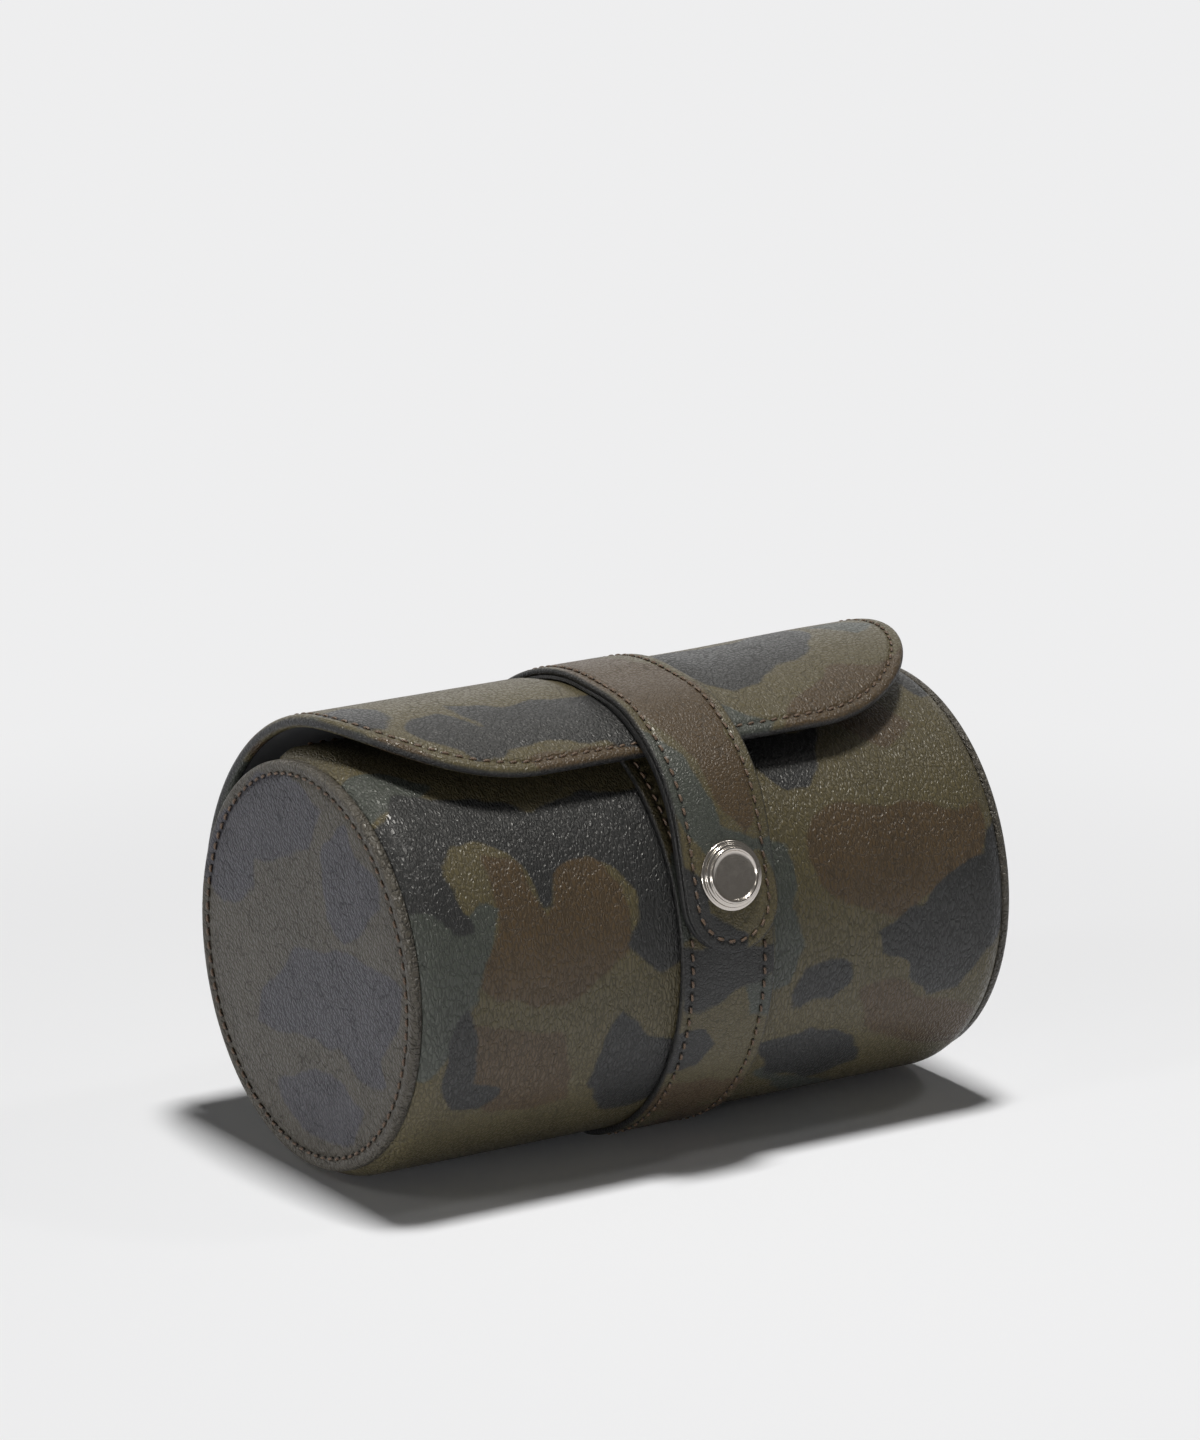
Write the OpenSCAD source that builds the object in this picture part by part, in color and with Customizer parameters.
// A cylindrical watch roll for two watches: a stiff tube covered in leather, two sewn end caps,
// a wrap-over flap hinged at the back, a strap sewn on the flap that ends in a snap tab,
// and two watch pillows in suede-lined compartments.
// X runs along the tube, -Y is the front with the snap, +Z is up, and z = 0 is what the roll rests on.

/* [Case] */
// Length of the leather-covered tube, without the end caps
case_len = 145; // [120:1:200]
// Radius of the tube over its leather
case_r = 45.2; // [40:0.1:60]
// Thickness of the tube's outer leather
case_leather_t = 1.2; // [0.8:0.1:1.6]
// Thickness of the stiff board under the leather
case_board_t = 1.8; // [1.2:0.1:2.4]
// Thickness of the suede lining
case_lining_t = 0.8; // [0.5:0.1:1.2]
// Length over which the tube's ends round over
shoulder_len = 5; // [3:0.5:7]
// Radius of that rounding
shoulder_r = 6.8; // [5:0.1:12]
// Angle of the front wall's free edge, from straight back over the top
front_edge_angle = 72; // [60:1:85]
// Angle of the back wall's free edge
back_edge_angle = -7; // [-9:1:0]
// Height of the tube's leather over the surface that the roll rests on
rest_gap = 0.3; // [0.2:0.05:0.6]

/* [End caps] */
// How far an end cap stands out from the tube's end
cap_t = 2.3; // [1.8:0.1:4]
// Thickness of the cap's leather
cap_leather_t = 1.1; // [0.7:0.1:1.4]
// Radius of the rounding round the cap's face
cap_round = 0.9; // [0.3:0.1:1]
// Thickness of the board that plugs the tube's end
end_board_t = 2.4; // [1.5:0.1:4]
// Thickness of the suede on the inside of that board
end_lining_t = 0.7; // [0.5:0.1:1.2]

/* [Flap] */
// Thickness of the flap's outer leather
flap_leather_t = 1.1; // [0.8:0.1:1.5]
// Thickness of the flap's stiffening board
flap_board_t = 0.8; // [0.5:0.1:1.2]
// Thickness of the flap's lining
flap_lining_t = 0.7; // [0.5:0.1:1]
// Half of the flap's width along the roll
flap_half = 71.5; // [55:0.5:72.5]
// How far forward of the roll's axis the flap's back curve is centred
flap_ease = 5.2; // [4:0.1:6.5]
// Angle at which the back curve turns into the tighter front curve
flap_turn_angle = 70; // [60:1:80]
// How much wider the flap's front curve is than the tube
flap_front_ease = 0.8; // [0.4:0.1:4]
// Length of the flap past the crown of that curve, along the leather
flap_front_len = 30; // [26:0.5:33]
// Radius of the flap's two large corners
flap_corner_r = 37; // [15:1:40]
// Width of the turned-over leather rim round the flap's edge
flap_rim = 2; // [1.5:0.1:3]
// Angle of the line at the back where the flap bends
hinge_angle = -8; // [-12:1:-5]
// Angle at which the flap's sewn tail ends below that line
tail_angle = -28; // [-40:1:-22]
// Unstiffened leather between the bend line and the flap's board
hinge_strip = 5; // [3:0.5:10]

/* [Strap, tab and band] */
// Width of the strap and of the tab
strap_w = 22.5; // [18:0.5:28]
// Thickness of the strap's outer leather
strap_leather_t = 1.4; // [1:0.1:1.8]
// Thickness of the leather that backs the strap
strap_backing_t = 1.75; // [1.6:0.05:2.2]
// Distance from the flap's bend line up to the strap's sewn end
strap_start_len = 9; // [8:0.5:20]
// How far the closed tab's straight part leans back from upright, in degrees
tab_lean = 15; // [12:1:20]
// Clear gap between the closed tab and the band
tab_gap = 0.4; // [0.35:0.05:1]
// Distance from the snap down to the centre of the tab's round tip
snap_to_tip = 5; // [2:0.5:8]
// Width of the band that runs round the case under the tab
band_w = 23; // [18:0.5:28]
// Thickness of that band
band_t = 1.4; // [1.2:0.1:1.8]

/* [Snap] */
// Height of the snap over the line where the tab comes to lie along the roll
snap_rise = 6.5; // [5:0.5:9]
// Radius of the snap's outer cap
snap_cap_r = 7.4; // [6:0.1:8]
// Height of that cap over the tab's leather
snap_cap_h = 2.1; // [1.5:0.1:2.6]
// Radius of the socket under the tab
snap_socket_r = 5.1; // [4.4:0.1:6]
// Radius of the stud's head
snap_head_r = 2.4; // [2:0.1:2.6]
// Radius of the stud's neck
snap_neck_r = 1.9; // [1.6:0.1:2]
// Radius of the stud's base
snap_base_r = 3.6; // [3:0.1:4.2]
// Thickness of the stud's base
snap_base_t = 0.45; // [0.35:0.05:0.5]
// Radius of the rivet posts
snap_post_r = 1.2; // [1:0.1:1.4]
// Radius of the eyelet inside the case
snap_eyelet_r = 4; // [3:0.1:5]
// Thickness of the eyelet
snap_eyelet_t = 0.5; // [0.4:0.1:0.8]

/* [Inside] */
// Thickness of the board that parts the two compartments
divider_board_t = 1.6; // [1:0.1:2.4]
// Thickness of the suede on each side of that board
divider_suede_t = 0.7; // [0.5:0.1:1]
// Radius of a pillow's two round edges
pillow_r = 22; // [16:0.5:23]
// Distance between the centres of those round edges
pillow_rise = 14; // [6:0.5:20]
// Thickness of the pillow's suede cover
pillow_cover_t = 1; // [0.6:0.1:1.6]

/* [Stitching] */
// Thickness of the sewing thread as it lies in its groove
thread_w = 0.6; // [0.4:0.05:0.8]
// Depth of the sewn groove
thread_depth = 0.42; // [0.3:0.02:0.5]
// Distance from an edge of the flap or a cap to its row of stitches
edge_inset = 2.75; // [2.2:0.05:4.5]
// Distance from a strap's or the band's edge to its row of stitches
strap_inset = 2.5; // [2:0.1:3.5]

/* [Clearances] */
// Film of glue between two layers
glue = 0.05; // [0.02:0.01:0.08]
// Gap between pieces that lie next to each other and move apart
part_gap = 0.3; // [0.2:0.05:0.4]
// Gap round a loose piece, such as a pillow in its compartment
loose_gap = 0.3; // [0.2:0.05:0.6]
// Gap round a rivet post in its hole
post_gap = 0.05; // [0.03:0.01:0.1]
// Gap round the stud's neck and head inside the socket and its ring
snap_gap = 0.2; // [0.15:0.05:0.3]

/* [Hidden] */
$fn = 96;

leather_dark = [0.22, 0.22, 0.19];
leather_olive = [0.29, 0.27, 0.2];
leather_edge = [0.16, 0.16, 0.15];
suede_grey = [0.27, 0.26, 0.24];
suede_light = [0.42, 0.4, 0.36];
board_grey = [0.5, 0.48, 0.44];
foam_grey = [0.62, 0.6, 0.56];
thread_brown = [0.27, 0.2, 0.14];
nickel = [0.78, 0.76, 0.73];

// Reaches past every surface that it cuts
far = 400;
// Angles of straight up, straight forward and straight down, from straight back over the top
quarter = 90;
crown_angle = quarter;
straight_front = 2 * quarter;
straight_down = 3 * quarter;

axis_z = case_r + rest_gap;
end_x = case_len / 2;

// The tube's layers, from the outside in
board_out_r = case_r - case_leather_t - glue;
board_in_r = board_out_r - case_board_t;
lining_out_r = board_in_r - glue;
lining_in_r = lining_out_r - case_lining_t;
plug_in_x = end_x - glue - end_board_t;
inner_end_x = plug_in_x - glue - end_lining_t;
// The end board and the cap's board are cut to one size, and the cap's leather goes round its board
end_board_r = lining_out_r;
cap_r = end_board_r + glue + cap_leather_t;

// The flap: its back curve is centred at back_c and its front curve at front_c
flap_t = flap_leather_t + glue + flap_board_t + glue + flap_lining_t;
flap_back_r = case_r + part_gap + flap_t + flap_ease;
flap_front_r = case_r + flap_front_ease;
back_c = [-flap_ease, 0];
front_c = back_c + (flap_back_r - flap_front_r) * dir(flap_turn_angle);
front_angle = crown_angle + arc_deg(flap_front_len, flap_front_r);
flap_mid_angle = crown_angle + arc_deg(flap_front_len - flap_corner_r / 2, flap_front_r);
flap_front_w = flap_front_r * sin(front_angle - flap_mid_angle);
// Angle past the front edge, where the outline trims the layers
flap_past_deg = 6;

// The bend line at the back lies on the leather's outer surface
hinge_r = case_r + part_gap + flap_t;
hinge_yz = hinge_r * dir(hinge_angle);
tail_out_r = case_r + glue + flap_t;
gap_deg = arc_deg(part_gap, hinge_r);
// The flap's and the strap's lower ends, as angles about the flap's back curve
flap_from = angle_of(hinge_yz - back_c) + gap_deg;
strap_from = flap_from + arc_deg(strap_start_len, flap_back_r);
filling_from = flap_from + arc_deg(hinge_strip, flap_back_r);

// The strap lies on the flap, and the tab goes on from it
strap_t = strap_backing_t + glue + strap_leather_t;
strap_top = glue + strap_t;
tab_hinge_yz = front_c + (flap_front_r + strap_top) * dir(front_angle);
band_out_r = case_r + glue + band_t;
tab_in_r = band_out_r + tab_gap;
tab_out_r = tab_in_r + strap_t;
// The straight part's outer face is square to this angle, and meets the roll's curve there
tab_angle = straight_front - tab_lean;
// The bend's radius brings it from the flap's front edge onto that face
tab_short = tab_out_r - tab_hinge_yz * dir(tab_angle);
tab_bend_r = tab_short / (1 - cos(tab_angle - front_angle));
bend_c = tab_hinge_yz - tab_bend_r * dir(front_angle);
// Angle past the straight part, where the outline trims the tab
tab_past_deg = 25;
tab_gap_deg = arc_deg(part_gap, tab_bend_r);

// The band starts under the edge stitching and ends below the flap's tail
edge_thread_deg = arc_deg(edge_inset + thread_w / 2, case_r);
edge_thread_angle = front_edge_angle + edge_thread_deg;
band_start = edge_thread_angle + edge_thread_deg;
band_end = 360 + tail_angle - gap_deg;
// The band lies flat under the roll over this angle to each side
band_flat_deg = acos(axis_z / band_out_r) + arc_deg(strap_inset, band_out_r);
// Open gap between a row of stitches and the end of its piece
thread_stop = 4;

// The snap's heights along its own line, from the level of the roll's axis
socket_foot = band_out_r + part_gap;
socket_top = tab_in_r + strap_backing_t - glue;
socket_roof_t = 0.4;
socket_roof = socket_top - socket_roof_t;
head_top = socket_roof - snap_gap;
head_t = 0.4;
spring_t = 0.4;
spring_w = 0.8;
spring_in_r = snap_neck_r + snap_gap;
spring_z = head_top - head_t - glue - spring_t;
spring_split_w = snap_head_r / 2;
// The cap steps in by this much at each ring; its flange, its ring and its dish are shares of its height
cap_step_w = 0.75;
flange_share = 0.3;
ring_share = 0.7;
dish_share = 0.75;
// The stud's base is let into the band, up to where its upper rim is flush
base_foot = on_curve(band_out_r, snap_rise + snap_base_r);
eyelet_top = on_curve(lining_in_r, snap_rise + snap_eyelet_r) - glue;
eyelet_foot = eyelet_top - snap_eyelet_t;

// The pillows lift out between the two free edges of the case
lift_angle = (front_edge_angle + back_edge_angle) / 2;
divider_t = divider_board_t + 2 * (glue + divider_suede_t);
pillow_from = divider_t / 2 + loose_gap;
pillow_to = inner_end_x - loose_gap;
pillow_low = lining_in_r - loose_gap - pillow_r;

function dir(a) = [cos(a), sin(a)];
function arc_deg(length, radius) = length / radius * 180 / PI;
function angle_of(p) = atan2(p[1], p[0]);
// Level of a curve of radius r about the roll's axis, at a distance to the side
function on_curve(r, aside) = sqrt(r * r - aside * aside);

// Turns a section drawn in [back, up] into a solid along the roll, at the height of its axis
module along_roll() {
    translate([0, 0, axis_z]) rotate([quarter, 0, quarter]) children();
}

// Sets a shape on the roll's axis with its own +Z pointing outwards at an angle
module facing(angle) {
    translate([0, 0, axis_z]) rotate([angle - crown_angle, 0, 0]) children();
}

// Sets a shape on the snap's line, square to the tab's straight part
module at_snap() {
    facing(tab_angle) translate([0, snap_rise, 0]) children();
}

// A wedge from angle a to angle b, of less than half a turn
module wedge(a, b) {
    half = (b - a) / 2;
    polygon([[0, 0], far * dir(a), far * dir(a + half), far * dir(b)]);
}

// A slice of a ring from angle a to angle b
module arc_band(r_in, r_out, a, b) {
    intersection() {
        difference() {
            circle(r_out);
            circle(r_in);
        }
        wedge(a, b);
    }
}

// A strip of the flap's curved sheet, from height low to height high over its outer surface
module flap_strip(low, high, a, b) {
    translate(back_c) rotate(flap_turn_angle) {
        arc_band(flap_back_r + low, flap_back_r + high, a - flap_turn_angle, 0);
        translate([flap_back_r - flap_front_r, 0])
            arc_band(flap_front_r + low, flap_front_r + high, 0, b - flap_turn_angle);
    }
}

module flap_layer(low, high, half_w, a = flap_from, b = front_angle + flap_past_deg) {
    along_roll() linear_extrude(2 * half_w, center = true) flap_strip(low, high, a, b);
}

// Everything inside the flap's outline, drawn in by a margin
module flap_outline(margin) {
    r = flap_corner_r - margin;
    half_w = flap_half - margin;
    front_w = flap_front_w - margin;
    translate([0, front_c[0], axis_z + front_c[1]])
        rotate([flap_mid_angle - crown_angle, 0, 0]) mirror([0, 1, 0]) linear_extrude(2 * far, center = true) {
            translate([-half_w, -far]) square([2 * half_w, far + front_w - r]);
            translate([r - half_w, -far]) square([2 * (half_w - r), far + front_w]);
            for (side = [-1, 1]) translate([side * (half_w - r), front_w - r]) circle(r);
        }
}

// A strip of the tab's sheet below its outer surface: the bend, the straight run, then round the roll
module tab_strip(low, high) {
    run = norm((tab_out_r - tab_bend_r) * dir(tab_angle) - bend_c);
    translate(bend_c) arc_band(tab_bend_r + low, tab_bend_r + high, front_angle + tab_gap_deg, tab_angle);
    rotate(tab_angle) {
        translate([tab_out_r + low, -run]) square([high - low, run]);
        arc_band(tab_out_r + low, tab_out_r + high, 0, tab_past_deg);
    }
}

// Everything inside the tab's outline, with its round tip, drawn in by a margin
module tab_outline(margin) {
    half_w = strap_w / 2 - margin;
    at_snap() translate([0, -snap_to_tip, 0]) linear_extrude(far) {
        circle(half_w);
        translate([-half_w, 0]) square([2 * half_w, far]);
    }
}

module tab_layer(low, high, margin = 0) {
    intersection() {
        along_roll() linear_extrude(2 * strap_w, center = true) tab_strip(low, high);
        tab_outline(margin);
    }
}

// Two rows of stitches along a strap of width w, as far in from its edges as strap_inset
module stitch_rows(w, spread = 0) {
    for (side = [-1, 1])
        translate([0, 0, side * (w / 2 - strap_inset)])
            linear_extrude(thread_w + spread, center = true) children();
}

// Half of the tube's section in [radius, along the roll], with its rounded end
module tube_half(r, end, shrink) {
    start = end_x - shoulder_len;
    intersection() {
        square([r, end]);
        union() {
            square([r, start]);
            translate([case_r - shoulder_r, start]) circle(shoulder_r - shrink);
            square([case_r - shoulder_r, end]);
        }
    }
}

// A tube wall round the roll, open from the back wall's edge up to the front wall's edge
module wall() {
    along_roll() rotate(front_edge_angle)
        rotate_extrude(angle = 360 + back_edge_angle - front_edge_angle) children();
}

module both_ways() {
    children();
    mirror([0, 1]) children();
}

// The hole for the stud's post through the band and the wall
module stud_hole() {
    at_snap() translate([0, 0, eyelet_foot]) cylinder(r = snap_post_r + post_gap, h = far);
}

module case_leather() {
    color(leather_dark) difference() {
        wall() difference() {
            both_ways() tube_half(case_r, end_x, 0);
            both_ways() tube_half(case_r - case_leather_t, end_x - case_leather_t, case_leather_t);
            square([2 * board_in_r, far], center = true);
        }
        stud_hole();
        edge_stitches(glue);
    }
}

module case_board() {
    color(board_grey) difference() {
        wall() difference() {
            both_ways()
                tube_half(board_out_r, end_x - case_leather_t - glue, case_leather_t + glue);
            square([2 * board_in_r, far], center = true);
        }
        stud_hole();
    }
}

module case_lining() {
    color(suede_grey) difference() {
        wall() translate([lining_in_r, glue - plug_in_x]) square([case_lining_t, 2 * (plug_in_x - glue)]);
        stud_hole();
    }
}

// The row of stitches along the front wall's free edge. In each row of stitches, spread is 0 for the thread
// and the glue's gap for the groove that it lies in, which is open at the top
module edge_stitches(spread) {
    half = arc_deg(thread_w + spread, case_r) / 2;
    along_roll() linear_extrude(case_len - 2 * shoulder_len + spread, center = true)
        arc_band(case_r - thread_depth - spread, case_r - glue / 2 + spread * 2,
            edge_thread_angle - half, edge_thread_angle + half);
}

module case_edge_thread() {
    color(thread_brown) edge_stitches(0);
}

// A cap's section in [radius, distance out from the tube's end]
module cap_section() {
    intersection() {
        square([cap_r, cap_t + glue]);
        union() {
            square([cap_r - cap_round, far]);
            square([cap_r, cap_t + glue - cap_round]);
            translate([cap_r - cap_round, cap_t + glue - cap_round]) circle(cap_round);
        }
    }
}

// Carries a shape drawn from the end of the tube outwards to the left or right end
module at_end(side) {
    translate([side * end_x, 0, axis_z]) rotate([0, side * quarter, 0]) children();
}

module cap_stitches(spread) {
    r = cap_r - edge_inset;
    translate([0, 0, glue + cap_t - thread_depth - spread]) difference() {
        cylinder(r = r + (thread_w + spread) / 2, h = thread_depth - glue / 2 + spread * 3);
        translate([0, 0, -far / 2]) cylinder(r = r - (thread_w + spread) / 2, h = far);
    }
}

module cap_leather(side) {
    color(leather_olive) at_end(side) difference() {
        rotate_extrude() difference() {
            cap_section();
            square([cap_r - cap_leather_t, glue + cap_t - cap_leather_t]);
        }
        cap_stitches(glue);
    }
}

module cap_board(side) {
    color(board_grey) at_end(side) translate([0, 0, glue])
        cylinder(r = end_board_r, h = cap_t - cap_leather_t - glue);
}

module end_board(side) {
    color(board_grey) at_end(side) translate([0, 0, -glue - end_board_t])
        cylinder(r = end_board_r, h = end_board_t);
}

module end_lining(side) {
    color(suede_grey) at_end(side) translate([0, 0, inner_end_x - end_x])
        cylinder(r = lining_in_r - glue, h = end_lining_t);
}

module left_cap_leather() cap_leather(-1);
module left_cap_board() cap_board(-1);
module left_cap_thread() color(thread_brown) at_end(-1) cap_stitches(0);
module left_end_board() end_board(-1);
module left_end_lining() end_lining(-1);
module right_cap_leather() cap_leather(1);
module right_cap_board() cap_board(1);
module right_cap_thread() color(thread_brown) at_end(1) cap_stitches(0);
module right_end_board() end_board(1);
module right_end_lining() end_lining(1);

// The row of stitches that sews the flap's tail to the back of the case
module tail_stitches(spread) {
    half = arc_deg(thread_w + spread, tail_out_r) / 2;
    row = tail_angle + arc_deg(edge_inset, tail_out_r);
    along_roll() linear_extrude(2 * (flap_half - edge_inset) + spread, center = true)
        arc_band(tail_out_r - thread_depth - spread, tail_out_r - glue / 2 + spread * 2, row - half, row + half);
}

// The flap's tail, sewn to the back of the case below the bend line
module hinge_panel() {
    color(leather_dark) difference() {
        along_roll() linear_extrude(2 * flap_half, center = true)
            arc_band(case_r + glue, tail_out_r, tail_angle, hinge_angle);
        tail_stitches(glue);
    }
}

module hinge_thread() {
    color(thread_brown) tail_stitches(0);
}

// The band's stitches stop short of where the band lies flat under the roll
module band_stitches(spread) {
    stop = arc_deg(thread_stop, band_out_r);
    low = band_out_r - thread_depth - spread;
    high = band_out_r - glue / 2 + spread * 2;
    more = arc_deg(spread, band_out_r);
    along_roll() {
        stitch_rows(band_w, spread)
            arc_band(low, high, band_start + stop - more, straight_down - band_flat_deg + more);
        stitch_rows(band_w, spread)
            arc_band(low, high, straight_down + band_flat_deg - more, band_end - stop + more);
    }
}

module band_leather() {
    color(leather_olive) difference() {
        along_roll() linear_extrude(band_w, center = true) {
            arc_band(case_r + glue, band_out_r, band_start, straight_front);
            arc_band(case_r + glue, band_out_r, straight_front, band_end);
        }
        translate([-far / 2, -far / 2, -far]) cube(far);
        stud_hole();
        at_snap() translate([0, 0, base_foot - glue]) cylinder(r = snap_base_r + post_gap, h = far);
        band_stitches(glue);
    }
}

module band_thread() {
    color(thread_brown) band_stitches(0);
}

// The space that the eyelet takes out of the divider's edge
module eyelet_room() {
    at_snap() translate([0, 0, eyelet_foot - loose_gap])
        cylinder(r = snap_eyelet_r + loose_gap, h = far);
}

module divider_board() {
    color(board_grey) difference() {
        along_roll() linear_extrude(divider_board_t, center = true) circle(lining_in_r - glue);
        eyelet_room();
    }
}

module divider_suede() {
    color(suede_grey) difference() {
        for (side = [-1, 1])
            along_roll() translate([0, 0, side * (divider_board_t + divider_suede_t + 2 * glue) / 2])
                linear_extrude(divider_suede_t, center = true) circle(lining_in_r - glue);
        eyelet_room();
    }
}

module snap_stud() {
    color(nickel) at_snap() {
        translate([0, 0, eyelet_foot]) cylinder(r = snap_post_r, h = base_foot - eyelet_foot);
        translate([0, 0, base_foot]) cylinder(r = snap_base_r, h = snap_base_t);
        translate([0, 0, base_foot]) cylinder(r = snap_neck_r, h = head_top - base_foot);
        translate([0, 0, head_top - head_t]) cylinder(r = snap_head_r, h = head_t);
    }
}

module snap_eyelet() {
    color(nickel) at_snap() translate([0, 0, eyelet_foot]) difference() {
        cylinder(r = snap_eyelet_r, h = snap_eyelet_t);
        translate([0, 0, -far / 2]) cylinder(r = snap_post_r + post_gap, h = far);
    }
}

// The row of stitches round the flap
module flap_stitches(spread) {
    low = -thread_depth - spread;
    high = -glue / 2 + spread * 2;
    start = flap_from + arc_deg(thread_stop, flap_back_r);
    intersection() {
        flap_layer(low, high, flap_half, start);
        difference() {
            flap_outline(edge_inset - (thread_w + spread) / 2);
            flap_outline(edge_inset + (thread_w + spread) / 2);
        }
    }
}

module flap_leather() {
    color(leather_dark) difference() {
        intersection() {
            flap_layer(-flap_t, 0, flap_half);
            flap_outline(0);
        }
        intersection() {
            flap_layer(-2 * flap_t, -flap_leather_t, flap_half, filling_from);
            flap_outline(flap_rim);
        }
        flap_stitches(glue);
    }
}

// A layer inside the flap's turned-over rim
module flap_filling(low, high) {
    intersection() {
        flap_layer(low, high, flap_half, filling_from + arc_deg(glue, flap_back_r));
        flap_outline(flap_rim + glue);
    }
}

module flap_board() {
    color(board_grey) flap_filling(-flap_leather_t - glue - flap_board_t, -flap_leather_t - glue);
}

module flap_lining() {
    color(suede_grey) flap_filling(-flap_t, -flap_t + flap_lining_t);
}

module flap_thread() {
    color(thread_brown) flap_stitches(0);
}

module strap_stitches(spread) {
    stop = arc_deg(thread_stop, flap_back_r);
    more = arc_deg(spread, flap_back_r);
    along_roll() stitch_rows(strap_w, spread)
        flap_strip(strap_top - thread_depth - spread, strap_top - glue / 2 + spread * 2,
            strap_from + stop - more, front_angle);
}

module strap_leather() {
    color(leather_olive) difference() {
        flap_layer(strap_top - strap_leather_t, strap_top, strap_w / 2, strap_from, front_angle);
        strap_stitches(glue);
    }
}

module strap_backing() {
    color(leather_edge) flap_layer(glue, glue + strap_backing_t, strap_w / 2, strap_from, front_angle);
}

module strap_thread() {
    color(thread_brown) strap_stitches(0);
}

module tab_stitches(spread) {
    difference() {
        tab_layer(-thread_depth - spread, -glue / 2 + spread * 2, strap_inset - (thread_w + spread) / 2);
        tab_outline(strap_inset + (thread_w + spread) / 2);
    }
}

module tab_leather() {
    color(leather_olive) difference() {
        tab_layer(-strap_leather_t, 0);
        at_snap() cylinder(r = snap_post_r + post_gap, h = far);
        at_snap() cylinder(r = snap_socket_r + post_gap, h = socket_top + glue);
        tab_stitches(glue);
    }
}

module tab_backing() {
    color(leather_edge) difference() {
        tab_layer(-strap_t, -strap_t + strap_backing_t);
        at_snap() cylinder(r = snap_socket_r + post_gap, h = far);
    }
}

module tab_thread() {
    color(thread_brown) tab_stitches(0);
}

// The cap: a flange, two stepped rings and a plain dished face
module snap_cap() {
    foot = tab_out_r + glue;
    color(nickel) at_snap() difference() {
        union() {
            translate([0, 0, socket_roof + glue]) cylinder(r = snap_post_r, h = foot - socket_roof);
            translate([0, 0, foot]) cylinder(r = snap_cap_r, h = snap_cap_h * flange_share);
            translate([0, 0, foot]) cylinder(r = snap_cap_r - cap_step_w, h = snap_cap_h * ring_share);
            translate([0, 0, foot]) cylinder(r = snap_cap_r - 2 * cap_step_w, h = snap_cap_h);
        }
        translate([0, 0, foot + snap_cap_h * dish_share]) cylinder(r = snap_cap_r - 3 * cap_step_w, h = far);
    }
}

module snap_socket() {
    color(nickel) at_snap() difference() {
        translate([0, 0, socket_foot]) cylinder(r = snap_socket_r, h = socket_top - socket_foot);
        translate([0, 0, socket_roof - far]) cylinder(r = snap_head_r + snap_gap, h = far);
        translate([0, 0, spring_z - post_gap])
            cylinder(r = spring_in_r + spring_w + post_gap, h = spring_t + 2 * post_gap);
        cylinder(r = snap_post_r + post_gap, h = far);
    }
}

// The split ring in the socket's groove, which springs open round the stud's head
module snap_spring() {
    color(nickel) at_snap() translate([0, 0, spring_z]) difference() {
        cylinder(r = spring_in_r + spring_w, h = spring_t);
        translate([0, 0, -far / 2]) cylinder(r = spring_in_r, h = far);
        translate([0, -spring_split_w / 2, -far / 2]) cube([far, spring_split_w, far]);
    }
}

// A pillow's section, drawn in by a margin: two round edges and the flat sides between them
module pillow_section(margin) {
    r = pillow_r - margin;
    rotate(lift_angle) translate([-pillow_low, 0]) {
        circle(r);
        translate([0, -r]) square([pillow_rise, 2 * r]);
        translate([pillow_rise, 0]) circle(r);
    }
}

module pillow_span(side, from, to) {
    along_roll() translate([0, 0, side > 0 ? from : -to]) linear_extrude(to - from) children();
}

module pillow_cover(side) {
    color(suede_light) pillow_span(side, pillow_from, pillow_to) difference() {
        pillow_section(0);
        pillow_section(pillow_cover_t);
    }
}

module pillow_ends(side) {
    color(suede_light) {
        pillow_span(side, pillow_from, pillow_from + pillow_cover_t) pillow_section(pillow_cover_t + glue);
        pillow_span(side, pillow_to - pillow_cover_t, pillow_to) pillow_section(pillow_cover_t + glue);
    }
}

module pillow_core(side) {
    inset = pillow_cover_t + glue;
    color(foam_grey) pillow_span(side, pillow_from + inset, pillow_to - inset) pillow_section(inset);
}

module left_pillow_cover() pillow_cover(-1);
module left_pillow_ends() pillow_ends(-1);
module left_pillow_core() pillow_core(-1);
module right_pillow_cover() pillow_cover(1);
module right_pillow_ends() pillow_ends(1);
module right_pillow_core() pillow_core(1);

case_leather();
case_board();
case_lining();
case_edge_thread();
left_cap_leather();
left_cap_board();
left_cap_thread();
left_end_board();
left_end_lining();
right_cap_leather();
right_cap_board();
right_cap_thread();
right_end_board();
right_end_lining();
hinge_panel();
hinge_thread();
band_leather();
band_thread();
divider_board();
divider_suede();
snap_stud();
snap_eyelet();
flap_leather();
flap_board();
flap_lining();
flap_thread();
strap_leather();
strap_backing();
strap_thread();
tab_leather();
tab_backing();
tab_thread();
snap_cap();
snap_socket();
snap_spring();
left_pillow_cover();
left_pillow_ends();
left_pillow_core();
right_pillow_cover();
right_pillow_ends();
right_pillow_core();
